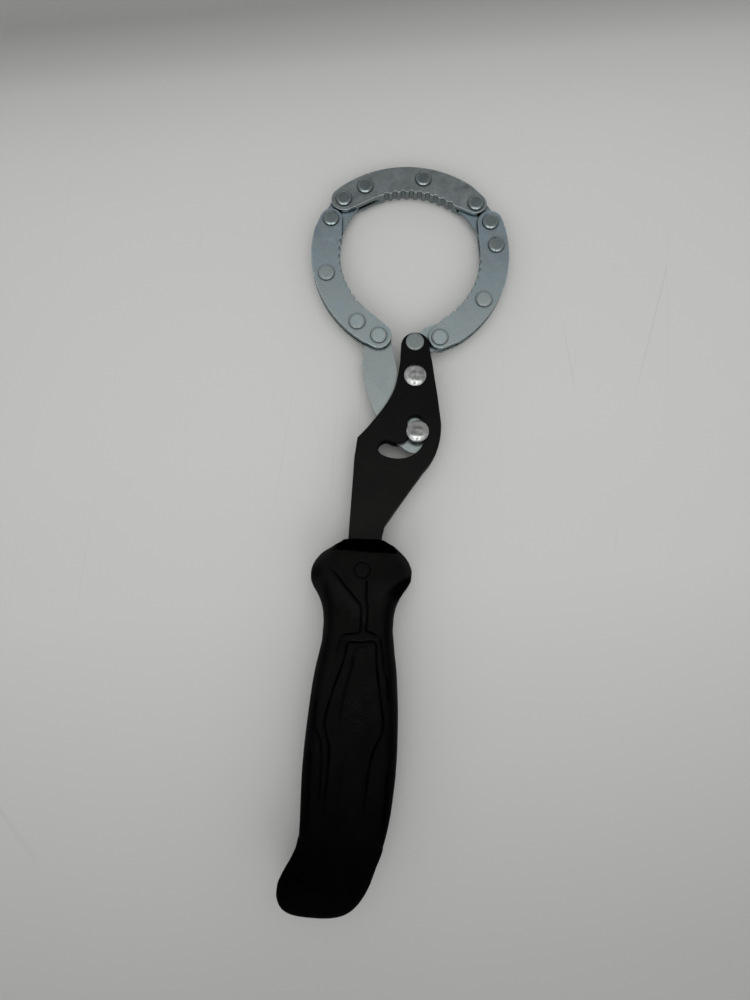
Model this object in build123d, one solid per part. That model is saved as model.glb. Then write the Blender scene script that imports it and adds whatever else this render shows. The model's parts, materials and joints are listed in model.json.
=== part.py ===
from build123d import *
import math
import os

# Filter wrench with a swivel-jaw ring. Millimetres, lying flat, +Z up.
# Working frame while drawing: origin on the nose pivot of the handle, at the
# mid-plane of the laminated plates, +Y from the grip towards the ring.
# At the end everything is moved so that the origin is the bottom centre of the
# whole tool's box.

# ---------------------------------------------------------------- dimensions
T_PLATE = 2.0            # thickness of one ring plate (three make a jaw)
T_LINK = 1.7             # thickness of the links and of the arm, in the middle layer
T_HANDLE = 3.0           # thickness of one handle plate
Z_RING = 3.0             # outer face of a jaw above the mid-plane
Z_HANDLE = 4.0           # outer face of a handle plate above the mid-plane

R_PITCH = 42.5           # radius of the rivet circle of a jaw
R_OUT = 47.9             # outer radius of a jaw plate
R_IN = 35.75             # inner radius of a jaw plate
A_FIX1 = 14.84           # angles of the rivets from the jaw's first pivot
A_FIX2 = 49.84
A_END = 84.52
CORE_TIP = -77.5         # inner corner of the middle layer, beside the link
R_CAP1 = 5.4             # rounded end at the first pivot
R_CAP2 = 4.75            # rounded end at the second pivot
LINK = 10.8              # pivot distance of every link

TOOTH_FIRST = 26.0       # angle of the first notch in the gripping edge
TOOTH_PITCH = 5.75
TOOTH_COUNT = 9
TOOTH_R = 1.1            # radius of a notch
TOOTH_DEPTH = 0.75

R_SHANK = 2.45           # rivet shanks
R_HEAD = 3.58            # flat rivet heads on the ring
H_HEAD = 1.1
HEAD_FLAT = 1.08         # from the rim in to the flat of a head
HEAD_SLOPE = 34.0        # slope of the turned edge round the flat
R_HEAD_NOSE = 3.9        # flat head at the nose of the handle
R_DOME = 4.55            # domed heads
H_DOME = 2.1
RUN = 0.06               # radial running clearance of a pivot
SEAT = 0.02              # radial gap of a rivet in the pieces it clamps
FACE_GAP = 0.15          # gap under the heads of the slot pin

R_SLOT_PIN = 2.5
SLOT_HALF = 3.42         # half width of the bean slot

R_NOSE = 6.0             # rounded nose of the handle plates
NOSE_C = (0.35, -1.7)

GRIP_FLAT = 12.2         # the flat on the underside, below the mid-plane

# jaw placement: arc centre and the direction of its first pivot
JAWS = {
    "top": ((-5.036, 33.350), 133.976),
    "left": ((1.227, 41.557), 247.138),
    "right": ((-9.880, 40.652), 22.868),
}
P_NOSE = (0.0, 0.0)
P_SPACER = (0.95, -14.55)
P_PIN = (3.35, -38.35)


def polar(r, deg):
    a = math.radians(deg)
    return (r * math.cos(a), r * math.sin(a))


def jaw_point(jaw, r, deg):
    (cx, cy), first = JAWS[jaw]
    x, y = polar(r, first - deg)
    return (cx + x, cy + y)


def slab(face, z0, z1):
    """a flat face pushed up from z0 to z1"""
    return Pos(0, 0, z0) * extrude(face, z1 - z0)


def disc(p, r, z0, z1):
    return Pos(p[0], p[1], (z0 + z1) / 2) * Cylinder(r, z1 - z0)


def poly_face(points):
    return make_face(Polyline(*points, close=True))


def soften(solid, zs, r):
    """break the sharp stamped edges that lie in the planes z = zs"""
    edges = [e for e in solid.edges() if any(abs(e.center().Z - z) < 1e-4 and e.bounding_box().size.Z < 1e-4 for z in zs)]
    for radius in (r, r * 0.6, r * 0.35):
        try:
            out = fillet(edges, radius)
            if out.is_valid and out.volume > 0:
                return out
        except Exception:
            pass
        try:
            out = chamfer(edges, radius)
            if out.is_valid and out.volume > 0:
                return out
        except Exception:
            pass
    print("edges left sharp")
    return solid


# ---------------------------------------------------------------- jaw profiles
# drawn about the arc centre with the first pivot on the +X axis and the rest
# of the jaw running clockwise (negative angles)
def notches(z0, z1):
    """shallow round notches along the gripping edge"""
    out = None
    for i in range(TOOTH_COUNT):
        a = -(TOOTH_FIRST + i * TOOTH_PITCH)
        n = disc(polar(R_IN + TOOTH_DEPTH - TOOTH_R, a), TOOTH_R, z0, z1)
        out = n if out is None else out + n
    return out


def tangent(q, c, r, side):
    """point where the straight line from q touches the circle (c, r)"""
    d = math.hypot(q[0] - c[0], q[1] - c[1])
    a = math.atan2(q[1] - c[1], q[0] - c[0]) + side * math.acos(r / d)
    return (c[0] + r * math.cos(a), c[1] + r * math.sin(a)), math.degrees(a)


def arc_about(c, r, a0, a1):
    """arc of the circle (c, r) from direction a0 to direction a1, in degrees"""
    pts = [(c[0] + r * math.cos(math.radians(a)), c[1] + r * math.sin(math.radians(a))) for a in (a0, (a0 + a1) / 2, a1)]
    return ThreePointArc(*pts)


def jaw_plate():
    p1 = polar(R_PITCH, 0)
    p2 = polar(R_PITCH, -A_END)
    out2 = polar(R_OUT, -(A_END - 8.0))
    in1 = polar(R_IN, -10.5)
    in2 = polar(R_IN, -(A_END - 9.5))
    t1, b1 = tangent(in1, p1, R_CAP1, -1)
    t2, b2 = tangent(in2, p2, R_CAP2, 1)
    t3, b3 = tangent(out2, p2, R_CAP2, -1)
    while b1 < 0:
        b1 += 360
    while b2 > b3:
        b2 -= 360
    body = make_face([
        ThreePointArc(polar(R_OUT, 0), polar(R_OUT, -(A_END - 8.0) / 2), out2),
        Line(out2, t3),
        arc_about(p2, R_CAP2, b3, b2),
        Line(t2, in2),
        ThreePointArc(in2, polar(R_IN, -A_END / 2), in1),
        Line(in1, t1),
        arc_about(p1, R_OUT - R_PITCH, b1, 0) if abs(R_OUT - R_PITCH - R_CAP1) < 1e-6 else arc_about(p1, R_CAP1, b1, 0),
    ])
    solid = slab(body, 0, T_PLATE)
    solid = solid - notches(-1, T_PLATE + 1)
    for a in (0, A_FIX1, A_FIX2, A_END):
        solid = solid - disc(polar(R_PITCH, -a), R_SHANK + SEAT, -1, T_PLATE + 1)
    return solid


def core_plate():
    """middle layer of a jaw: notched like the plates, cut back at both ends for the fork"""
    f1 = polar(R_PITCH, -A_FIX1)
    ro = R_OUT - 0.25
    r = 4.3
    o1 = polar(ro, -22.0)
    i1 = polar(R_IN, -21.5)
    o2 = polar(ro, -76.4)
    i2 = polar(R_IN, CORE_TIP)
    to, bo = tangent(o1, f1, r, 1)
    ti, bi = tangent(i1, f1, r, -1)
    while bi < bo:
        bi += 360
    body = make_face([
        ThreePointArc(o1, polar(ro, -49.0), o2),
        Line(o2, i2),
        ThreePointArc(i2, polar(R_IN, -50.0), i1),
        Line(i1, ti),
        arc_about(f1, r, bi, bo),
        Line(to, o1),
    ])
    solid = slab(body, -T_PLATE / 2, T_PLATE / 2)
    solid = solid - notches(-2, 2)
    for a in (A_FIX1, A_FIX2):
        solid = solid - disc(polar(R_PITCH, -a), R_SHANK + SEAT, -2, 2)
    return solid


def flat_rivet(p, z, r=R_HEAD, shank=R_SHANK):
    """shank with two flat heads, each with a turned sloping edge and a round rim;
    z is the face that the heads sit on"""
    x, y = p
    sa, ca = math.sin(math.radians(HEAD_SLOPE)), math.cos(math.radians(HEAD_SLOPE))
    top = z + H_HEAD
    r0 = r - HEAD_FLAT                    # flat, then a small arc into the slope
    k1 = 0.25 / sa
    r1, z1 = r0 + 0.25, top - k1 * (1 - ca)
    k2 = 0.35 / (1 - sa)                  # slope, then the round rim
    r2 = r - 0.35
    z2 = z1 - (r2 - r1) * sa / ca
    z3 = z2 - k2 * ca
    half = math.radians(HEAD_SLOPE / 2)
    m1 = (r0 + k1 * math.sin(half), top - k1 * (1 - math.cos(half)))
    mid = math.radians((HEAD_SLOPE + 90.0) / 2)
    m2 = (r - k2 + k2 * math.sin(mid), z3 + k2 * math.cos(mid))

    def low(q):
        return (q[0], -q[1])

    edge = [
        Line((0, top), (r0, top)), ThreePointArc((r0, top), m1, (r1, z1)), Line((r1, z1), (r2, z2)),
        ThreePointArc((r2, z2), m2, (r, z3)), Line((r, z3), (r, z)), Line((r, z), (shank, z)),
        Line((shank, z), (shank, -z)), Line((shank, -z), (r, -z)), Line((r, -z), (r, -z3)),
        ThreePointArc((r, -z3), low(m2), (r2, -z2)), Line((r2, -z2), (r1, -z1)),
        ThreePointArc((r1, -z1), low(m1), (r0, -top)), Line((r0, -top), (0, -top)), Line((0, -top), (0, top)),
    ]
    return Pos(x, y, 0) * revolve(Plane.XZ * make_face(edge), Axis.Z, 360)


def domed_rivet(p, z, shank, r=R_DOME, h=H_DOME):
    """shank with two domed heads; z is the underside of the upper head"""
    x, y = p
    rim = 0.35
    hh = h - rim
    rs = (r * r + hh * hh) / (2 * hh)
    half = math.asin(r / rs) / 2
    mid = (rs * math.sin(half), z + rim - (rs - hh) + rs * math.cos(half))
    prof = make_face([
        Line((0, -z - h), (0, z + h)),
        ThreePointArc((0, z + h), mid, (r, z + rim)),
        Line((r, z + rim), (r, z)), Line((r, z), (shank, z)), Line((shank, z), (shank, -z)),
        Line((shank, -z), (r, -z)), Line((r, -z), (r, -z - rim)),
        ThreePointArc((r, -z - rim), (mid[0], -mid[1]), (0, -z - h)),
    ])
    return Pos(x, y, 0) * revolve(Plane.XZ * prof, Axis.Z, 360)


# ---------------------------------------------------------------- links
def link_solid(pa, pb, inward, wide_a=True):
    """link between pivots pa and pb; inward is +1 where the ring's inside lies
    to the left of the direction pa-pb, -1 where it lies to the right"""
    ang = math.degrees(math.atan2(pb[1] - pa[1], pb[0] - pa[0]))
    s = inward
    r = 4.45
    di = 7.1
    if wide_a:
        inner = ThreePointArc((LINK + 2.2, s * di), (LINK / 2, s * (di - 0.75)), (-2.2, s * di))
        body = make_face([
            Line((0, -s * r), (LINK, -s * r)),
            ThreePointArc((LINK, -s * r), (LINK + r, 0), (LINK + r - 0.6, s * 2.2)),
            Line((LINK + r - 0.6, s * 2.2), (LINK + 2.2, s * di)),
            inner,
            Line((-2.2, s * di), (-r + 0.6, s * 2.2)),
            ThreePointArc((-r + 0.6, s * 2.2), (-r, 0), (0, -s * r)),
        ])
    else:
        # round end at pa, the inner flank rises towards pb
        body = make_face([
            Line((0, -s * r), (LINK, -s * r)),
            ThreePointArc((LINK, -s * r), (LINK + r, 0), (LINK + r - 0.6, s * 2.2)),
            Line((LINK + r - 0.6, s * 2.2), (LINK + 2.0, s * 6.9)),
            Line((LINK + 2.0, s * 6.9), (LINK - 4.6, s * 6.2)),
            Line((LINK - 4.6, s * 6.2), (1.2, s * 4.2)),
            ThreePointArc((1.2, s * 4.2), (-r + 0.12, s * 1.0), (0, -s * r)),
        ])
    solid = slab(body, -T_LINK / 2, T_LINK / 2)
    solid = solid - disc((0, 0), R_SHANK + RUN, -2, 2) - disc((LINK, 0), R_SHANK + RUN, -2, 2)
    return Pos(pa[0], pa[1], 0) * Rot(0, 0, ang) * solid


# ---------------------------------------------------------------- handle plates
SLOT_CENTRE = [(2.3, -34.6), (3.42, -37.2), (3.34, -40.2), (2.3, -43.1), (-0.15, -45.55),
               (-4.3, -46.75), (-8.95, -45.9)]


def slot_face(grow=0.0):
    h = SLOT_HALF + grow
    line = Spline(*SLOT_CENTRE)
    n = 12
    left, right = [], []
    for i in range(n + 1):
        p = line @ (i / n)
        t = line % (i / n)
        left.append((p.X - t.Y * h, p.Y + t.X * h))
        right.append((p.X + t.Y * h, p.Y - t.X * h))
    t0, t1 = line % 0, line % 1
    p0, p1 = line @ 0, line @ 1
    return make_face([
        Spline(*left),
        ThreePointArc(left[-1], (p1.X + t1.X * h, p1.Y + t1.Y * h), right[-1]),
        Spline(*right[::-1]),
        ThreePointArc(right[0], (p0.X - t0.X * h, p0.Y - t0.Y * h), left[0]),
    ])


PLATE_LEFT = [(-5.62, -2.6), (-5.55, -7.4), (-6.1, -14.4), (-7.1, -20.2), (-8.9, -24.9), (-11.2, -29.2),
              (-13.9, -33.2), (-17.2, -37.9), (-20.95, -42.4)]
PLATE_RIGHT = [(7.9, -9.0), (9.2, -15.6), (10.7, -22.8), (12.15, -30.8), (12.8, -34.5), (12.85, -38.6),
               (12.1, -44.3), (10.2, -49.2), (7.1, -53.9), (2.8, -60.7), (-2.5, -69.3), (-7.6, -77.8)]
TANG_LEFT = -21.6
TANG_RIGHT = -8.2
TANG_END = -186.0


def handle_profile():
    cx, cy = NOSE_C
    a = math.radians(8)
    right0 = (cx + R_NOSE * math.cos(a), cy - R_NOSE * math.sin(a))
    left0 = (cx - R_NOSE * math.cos(a), cy - R_NOSE * math.sin(a))
    return make_face([
        ThreePointArc(left0, (cx, cy + R_NOSE), right0),
        Line(right0, PLATE_RIGHT[0]),
        Spline(*PLATE_RIGHT[:5]),
        Spline(*PLATE_RIGHT[4:9]),
        Spline(*PLATE_RIGHT[8:]),
        Line(PLATE_RIGHT[-1], (TANG_RIGHT, -81.5)),
        Line((TANG_RIGHT, -81.5), (TANG_RIGHT - 1.2, TANG_END + 3)),
        Line((TANG_RIGHT - 1.2, TANG_END + 3), (TANG_RIGHT - 4.2, TANG_END)),
        Line((TANG_RIGHT - 4.2, TANG_END), (TANG_LEFT + 3.0, TANG_END)),
        Line((TANG_LEFT + 3.0, TANG_END), (TANG_LEFT, TANG_END + 3)),
        Line((TANG_LEFT, TANG_END + 3), (TANG_LEFT, -50.8)),
        Line((TANG_LEFT, -50.8), PLATE_LEFT[-1]),
        Spline(*PLATE_LEFT[::-1]),
        Line(PLATE_LEFT[0], left0),
    ])


def handle_plate():
    """one stamping, drawn between z = 0 and z = T_HANDLE"""
    solid = slab(handle_profile(), 0, T_HANDLE)
    solid = solid - slab(slot_face(), -1, T_HANDLE + 1)
    for p in (P_NOSE, P_SPACER):
        solid = solid - disc(p, R_SHANK + SEAT, -1, T_HANDLE + 1)
    return solid


# ---------------------------------------------------------------- arm
def arm_solid():
    p7 = jaw_point("left", R_PITCH, 0)
    px, py = P_PIN
    left = [(p7[0] - 5.15, p7[1] - 0.6), (-21.2, -4.6), (-21.1, -10.0), (-20.4, -15.2), (-18.9, -21.0), (-16.6, -26.7),
            (-13.9, -31.8), (-10.6, -36.5), (-6.6, -41.4), (-2.6, -44.5)]
    right = [(10.6, -34.9), (8.6, -32.0), (4.6, -28.2), (0.4, -24.2), (-3.2, -19.6), (-5.5, -15.4), (-7.4, -8.9),
             (-8.9, -3.2), (p7[0] + 5.15, p7[1] + 0.4)]
    top = (p7[0] + 0.2, p7[1] + 5.2)
    body = make_face([
        Spline(*left),
        ThreePointArc(left[-1], (px + 3.4, py - 7.6), right[0]),
        Spline(*right),
        ThreePointArc(right[-1], top, left[0]),
    ])
    solid = slab(body, -T_LINK / 2, T_LINK / 2)
    solid = solid - disc(p7, R_SHANK + RUN, -2, 2) - disc(P_PIN, R_SLOT_PIN + SEAT, -2, 2)
    return solid


# ---------------------------------------------------------------- grip
# outline stations: y, left x, right x, half thickness, squareness of the section
GRIP = [
    (-83.4, -23.6, -7.2, 5.6, 0.25),
    (-86.2, -27.0, -2.0, 9.0, 0.28),
    (-90.3, -31.9, 2.2, 11.9, 0.36),
    (-95.6, -35.1, 4.5, 12.9, 0.42),
    (-100.4, -35.2, 3.9, 12.9, 0.42),
    (-105.6, -32.7, 0.9, 12.3, 0.40),
    (-112.0, -29.8, -1.0, 11.5, 0.38),
    (-119.0, -28.9, -1.7, 11.2, 0.38),
    (-128.0, -29.7, -0.4, 11.7, 0.38),
    (-140.0, -31.3, 1.4, 12.6, 0.38),
    (-154.0, -32.2, 2.6, 12.9, 0.38),
    (-168.0, -32.7, 2.9, 12.9, 0.38),
    (-182.0, -32.3, 2.3, 12.7, 0.38),
    (-194.0, -31.9, 0.9, 12.3, 0.38),
    (-201.0, -32.7, -0.5, 12.3, 0.38),
    (-208.0, -35.6, -1.7, 12.7, 0.40),
    (-214.0, -37.8, -3.9, 12.5, 0.40),
    (-219.0, -37.6, -7.4, 11.4, 0.38),
    (-222.6, -35.6, -11.6, 9.2, 0.34),
    (-224.6, -31.8, -17.0, 6.0, 0.30),
]


def grip_section(y, x0, x1, hz, sq):
    w = (x1 - x0) / 2
    c = (x0 + x1) / 2
    pts = []
    n = 16
    e = 1.0 - 0.55 * sq
    for i in range(n):
        a = 2 * math.pi * i / n
        ca, sa = math.cos(a), math.sin(a)
        pts.append((c + w * math.copysign(abs(ca) ** e, ca), hz * math.copysign(abs(sa) ** e, sa)))
    face = make_face(Spline(*pts, periodic=True))
    return Plane(origin=(0, y, 0), x_dir=(1, 0, 0), z_dir=(0, -1, 0)) * face


def grip_solid():
    body = loft([grip_section(*s) for s in GRIP])
    y0, y1 = GRIP[-1][0] - 5, GRIP[0][0] + 5
    # the flat on the underside
    body = body - Pos(0, (y0 + y1) / 2, -GRIP_FLAT - 5) * Box(120, y1 - y0 + 20, 10)
    # pocket that the tangs and their spacer fill
    pocket = slab(handle_profile(), -Z_HANDLE, Z_HANDLE)
    body = body - pocket
    return body


# ---------------------------------------------------------------- assembly
def place_jaw(jaw, solid):
    (cx, cy), first = JAWS[jaw]
    return Pos(cx, cy, 0) * Rot(0, 0, first) * solid


nodes = {}
plate = soften(jaw_plate(), [T_PLATE], 0.3)
core = core_plate()
for jaw in ("top", "left", "right"):
    nodes[jaw + "_jaw_front_plate"] = place_jaw(jaw, Pos(0, 0, Z_RING - T_PLATE) * plate)
    nodes[jaw + "_jaw_back_plate"] = place_jaw(jaw, Pos(0, 0, -Z_RING + T_PLATE) * mirror(plate, Plane.XY))
    nodes[jaw + "_jaw_core"] = place_jaw(jaw, core)
    nodes[jaw + "_jaw_fixed_rivets"] = [flat_rivet(jaw_point(jaw, R_PITCH, a), Z_RING) for a in (A_FIX1, A_FIX2)]
    nodes[jaw + "_jaw_pivot_rivets"] = [flat_rivet(jaw_point(jaw, R_PITCH, a), Z_RING) for a in (0, A_END)]

p3 = jaw_point("top", R_PITCH, 0)
p8 = jaw_point("top", R_PITCH, A_END)
p7 = jaw_point("left", R_PITCH, 0)
p4 = jaw_point("left", R_PITCH, A_END)
p9 = jaw_point("right", R_PITCH, 0)
p12 = jaw_point("right", R_PITCH, A_END)
nodes["left_link"] = link_solid(p3, p4, 1)
nodes["right_link"] = link_solid(p9, p8, 1)
nodes["nose_link"] = link_solid(P_NOSE, p12, 1, wide_a=False)

hp = soften(handle_plate(), [T_HANDLE], 0.3)
nodes["handle_front_plate"] = Pos(0, 0, Z_HANDLE - T_HANDLE) * hp
nodes["handle_back_plate"] = Pos(0, 0, -Z_HANDLE + T_HANDLE) * mirror(hp, Plane.XY)
nodes["nose_pivot_rivet"] = flat_rivet(P_NOSE, Z_HANDLE, R_HEAD_NOSE)
nodes["spacer_rivet"] = domed_rivet(P_SPACER, Z_HANDLE, R_SHANK)
nodes["spacer_collar"] = disc(P_SPACER, 3.3, -1.0, 1.0) - disc(P_SPACER, R_SHANK + SEAT, -2, 2)
tang_in = poly_face([(TANG_LEFT + 0.8, -66.0), (-5.6, -66.0), (-9.3, -73.6), (TANG_RIGHT - 1.0, -81.5),
                     (TANG_RIGHT - 2.2, TANG_END + 3.4), (TANG_RIGHT - 4.6, TANG_END + 1),
                     (TANG_LEFT + 3.6, TANG_END + 1), (TANG_LEFT + 0.8, TANG_END + 3.4)])
nodes["tang_spacer"] = slab(tang_in, -1.0, 1.0)
nodes["grip"] = grip_solid()
nodes["arm"] = arm_solid()
nodes["slot_pin"] = domed_rivet(P_PIN, Z_HANDLE + FACE_GAP, R_SLOT_PIN)

# ---------------------------------------------------------------- origin and export
boxes = []
for s in nodes.values():
    for one in (s if isinstance(s, list) else [s]):
        boxes.append(one.bounding_box())
lo = [min(getattr(b.min, a) for b in boxes) for a in "XYZ"]
hi = [max(getattr(b.max, a) for b in boxes) for a in "XYZ"]
shift = (-(lo[0] + hi[0]) / 2, -(lo[1] + hi[1]) / 2, -lo[2])
print("box", [round(h - l, 3) for h, l in zip(hi, lo)], "shift", [round(v, 4) for v in shift])
for name, p in (("p_nose", P_NOSE), ("p12", p12), ("p9", p9), ("p8", p8), ("p3", p3), ("p4", p4), ("p7", p7), ("p_pin", P_PIN)):
    print(name, [round(p[0] + shift[0], 4), round(p[1] + shift[1], 4), round(shift[2], 4)])

os.makedirs("parts", exist_ok=True)
for name, s in nodes.items():
    if isinstance(s, list):
        moved = Compound(children=[Pos(*shift) * one for one in s])
    else:
        moved = Pos(*shift) * s
    export_step(moved, "parts/%s.step" % name)
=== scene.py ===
import json
import math

import bpy
import numpy as np
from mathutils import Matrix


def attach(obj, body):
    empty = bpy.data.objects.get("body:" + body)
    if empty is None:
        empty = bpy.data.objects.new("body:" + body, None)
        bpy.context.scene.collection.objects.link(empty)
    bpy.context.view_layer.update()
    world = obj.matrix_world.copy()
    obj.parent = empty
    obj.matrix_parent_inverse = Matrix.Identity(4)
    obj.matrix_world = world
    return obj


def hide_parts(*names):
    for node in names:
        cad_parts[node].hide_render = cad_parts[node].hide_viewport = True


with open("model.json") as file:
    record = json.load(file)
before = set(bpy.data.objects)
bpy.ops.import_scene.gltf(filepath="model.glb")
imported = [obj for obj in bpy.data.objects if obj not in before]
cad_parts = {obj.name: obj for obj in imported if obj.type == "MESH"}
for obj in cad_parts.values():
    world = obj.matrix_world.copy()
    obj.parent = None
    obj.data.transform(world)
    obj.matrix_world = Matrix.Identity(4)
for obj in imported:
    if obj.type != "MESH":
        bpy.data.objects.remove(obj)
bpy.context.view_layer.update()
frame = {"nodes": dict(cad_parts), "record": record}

nodes = frame["nodes"]

# ---------------------------------------------------------------- frame helpers
# shapes are drawn in millimetres about the nose pivot, with z = 0 at the
# mid-plane of the plates, as the tool is drawn; OFF moves them to the row frame
OFF = np.array([4.3265, 71.675, 12.2])


def place(p):
    return (np.asarray(p, float) + OFF) / 1000.0


def pchip(x, y, q):
    """monotone cubic through (x, y), evaluated at q"""
    x = np.asarray(x, float)
    y = np.asarray(y, float)
    h = np.diff(x)
    d = np.diff(y) / h
    m = np.zeros_like(y)
    for i in range(1, len(x) - 1):
        if d[i - 1] * d[i] > 0:
            w1 = 2 * h[i] + h[i - 1]
            w2 = h[i] + 2 * h[i - 1]
            m[i] = (w1 + w2) / (w1 / d[i - 1] + w2 / d[i])
    m[0] = d[0]
    m[-1] = d[-1]
    q = np.clip(q, x[0], x[-1])
    i = np.clip(np.searchsorted(x, q, side="right") - 1, 0, len(x) - 2)
    t = (q - x[i]) / h[i]
    return ((2 * t ** 3 - 3 * t ** 2 + 1) * y[i] + (t ** 3 - 2 * t ** 2 + t) * h[i] * m[i]
            + (-2 * t ** 3 + 3 * t ** 2) * y[i + 1] + (t ** 3 - t ** 2) * h[i] * m[i + 1])


def catmull(points, per=8):
    """smooth open line through the points"""
    p = np.asarray(points, float)
    e = np.vstack([2 * p[0] - p[1], p, 2 * p[-1] - p[-2]])
    out = []
    for i in range(len(p) - 1):
        a, b, c, d = e[i:i + 4]
        for k in range(per):
            t = k / per
            out.append(0.5 * ((2 * b) + (c - a) * t + (2 * a - 5 * b + 4 * c - d) * t * t
                              + (3 * b - a - 3 * c + d) * t ** 3))
    out.append(p[-1])
    return np.array(out)


def distance(xy, line):
    """distance of each point to a line of segments, the side of the line it is on
    (positive to the left of its direction) and the share of the length there"""
    best = np.full(len(xy), 1e9)
    side = np.zeros(len(xy))
    share = np.zeros(len(xy))
    seg = np.linalg.norm(np.diff(line, axis=0), axis=1)
    run = np.concatenate([[0], np.cumsum(seg)])
    for i in range(len(line) - 1):
        a, b = line[i], line[i + 1]
        ab = b - a
        t = np.clip(((xy - a) @ ab) / (ab @ ab), 0, 1)
        c = a + t[:, None] * ab
        d = np.linalg.norm(xy - c, axis=1)
        near = d < best
        best[near] = d[near]
        cross = ab[0] * (xy[:, 1] - a[1]) - ab[1] * (xy[:, 0] - a[0])
        side[near] = np.sign(cross[near])
        share[near] = (run[i] + t[near] * seg[i]) / run[-1]
    return best, side, share


def inside(xy, ring):
    """which points are inside the closed outline"""
    hit = np.zeros(len(xy), bool)
    n = len(ring)
    for i in range(n):
        a, b = ring[i], ring[(i + 1) % n]
        cond = (a[1] > xy[:, 1]) != (b[1] > xy[:, 1])
        if abs(b[1] - a[1]) < 1e-12:
            continue
        xc = (b[0] - a[0]) * (xy[:, 1] - a[1]) / (b[1] - a[1]) + a[0]
        hit ^= cond & (xy[:, 0] < xc)
    return hit


def smoothstep(a, b, x):
    t = np.clip((x - a) / (b - a), 0, 1)
    return t * t * (3 - 2 * t)


def smooth_min(a, b, k):
    h = np.clip(0.5 + 0.5 * (b - a) / k, 0, 1)
    return b * (1 - h) + a * h - k * h * (1 - h)


# ---------------------------------------------------------------- node helpers
def new_material(name):
    m = bpy.data.materials.new(name)
    m.use_nodes = True
    nt = m.node_tree
    nt.nodes.clear()
    out = nt.nodes.new("ShaderNodeOutputMaterial")
    bsdf = nt.nodes.new("ShaderNodeBsdfPrincipled")
    nt.links.new(bsdf.outputs["BSDF"], out.inputs["Surface"])
    return m, nt, bsdf


class Net:
    """short names for building a node tree"""

    def __init__(self, nt):
        self.nt = nt
        self.co = nt.nodes.new("ShaderNodeTexCoord").outputs["Object"]

    def link(self, a, b):
        self.nt.links.new(a, b)

    def map(self, scale=(1, 1, 1), rot=(0, 0, 0), loc=(0, 0, 0), src=None):
        n = self.nt.nodes.new("ShaderNodeMapping")
        n.inputs["Scale"].default_value = scale
        n.inputs["Rotation"].default_value = rot
        n.inputs["Location"].default_value = loc
        self.link(src or self.co, n.inputs["Vector"])
        return n.outputs["Vector"]

    def noise(self, scale, detail=3.0, rough=0.5, src=None, distort=0.0):
        n = self.nt.nodes.new("ShaderNodeTexNoise")
        n.inputs["Scale"].default_value = scale
        n.inputs["Detail"].default_value = detail
        n.inputs["Roughness"].default_value = rough
        n.inputs["Distortion"].default_value = distort
        self.link(src or self.co, n.inputs["Vector"])
        return n.outputs["Fac"]

    def voronoi(self, scale, feature="F1", src=None, rand=1.0, out="Distance"):
        n = self.nt.nodes.new("ShaderNodeTexVoronoi")
        n.feature = feature
        n.inputs["Scale"].default_value = scale
        n.inputs["Randomness"].default_value = rand
        self.link(src or self.co, n.inputs["Vector"])
        return n.outputs[out]

    def range(self, src, a, b, c=0.0, d=1.0, smooth=False):
        n = self.nt.nodes.new("ShaderNodeMapRange")
        n.interpolation_type = "SMOOTHSTEP" if smooth else "LINEAR"
        n.inputs["From Min"].default_value = a
        n.inputs["From Max"].default_value = b
        n.inputs["To Min"].default_value = c
        n.inputs["To Max"].default_value = d
        self.link(src, n.inputs["Value"])
        return n.outputs["Result"]

    def ramp(self, src, stops):
        n = self.nt.nodes.new("ShaderNodeValToRGB")
        els = n.color_ramp.elements
        while len(els) < len(stops):
            els.new(0.5)
        for e, (p, c) in zip(els, stops):
            e.position = p
            e.color = (c[0], c[1], c[2], 1)
        self.link(src, n.inputs["Fac"])
        return n.outputs["Color"]

    def mix(self, fac, a, b, blend="MIX"):
        n = self.nt.nodes.new("ShaderNodeMix")
        n.data_type = "RGBA"
        n.blend_type = blend
        ins = [s for s in n.inputs if s.type == "RGBA"]
        if isinstance(fac, float):
            n.inputs[0].default_value = fac
        else:
            self.link(fac, n.inputs[0])
        for s, v in zip(ins, (a, b)):
            if isinstance(v, tuple):
                s.default_value = (v[0], v[1], v[2], 1)
            else:
                self.link(v, s)
        return [s for s in n.outputs if s.type == "RGBA"][0]

    def math(self, op, a, b=None):
        n = self.nt.nodes.new("ShaderNodeMath")
        n.operation = op
        for i, v in enumerate((a, b)):
            if v is None:
                continue
            if isinstance(v, (int, float)):
                n.inputs[i].default_value = v
            else:
                self.link(v, n.inputs[i])
        return n.outputs[0]

    def bump(self, height, strength, dist, normal=None):
        n = self.nt.nodes.new("ShaderNodeBump")
        n.inputs["Strength"].default_value = strength
        n.inputs["Distance"].default_value = dist
        self.link(height, n.inputs["Height"])
        if normal is not None:
            self.link(normal, n.inputs["Normal"])
        return n.outputs["Normal"]

    def facing_up(self):
        """size of the normal's vertical part: 1 on the flat faces, 0 on cut edges"""
        g = self.nt.nodes.new("ShaderNodeNewGeometry")
        sp = self.nt.nodes.new("ShaderNodeSeparateXYZ")
        self.link(g.outputs["Normal"], sp.inputs[0])
        return self.math("ABSOLUTE", sp.outputs["Z"])

    def crevice(self, dist, lo, hi):
        """1 in the open, 0 where another face is close: painted shade, with some dirt, in the joints"""
        n = self.nt.nodes.new("ShaderNodeAmbientOcclusion")
        n.samples = 6
        n.inputs["Distance"].default_value = dist
        return self.range(n.outputs["AO"], lo, hi, 0.0, 1.0, True)

    def attribute(self, name):
        n = self.nt.nodes.new("ShaderNodeAttribute")
        n.attribute_name = name
        return n.outputs["Fac"]


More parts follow.
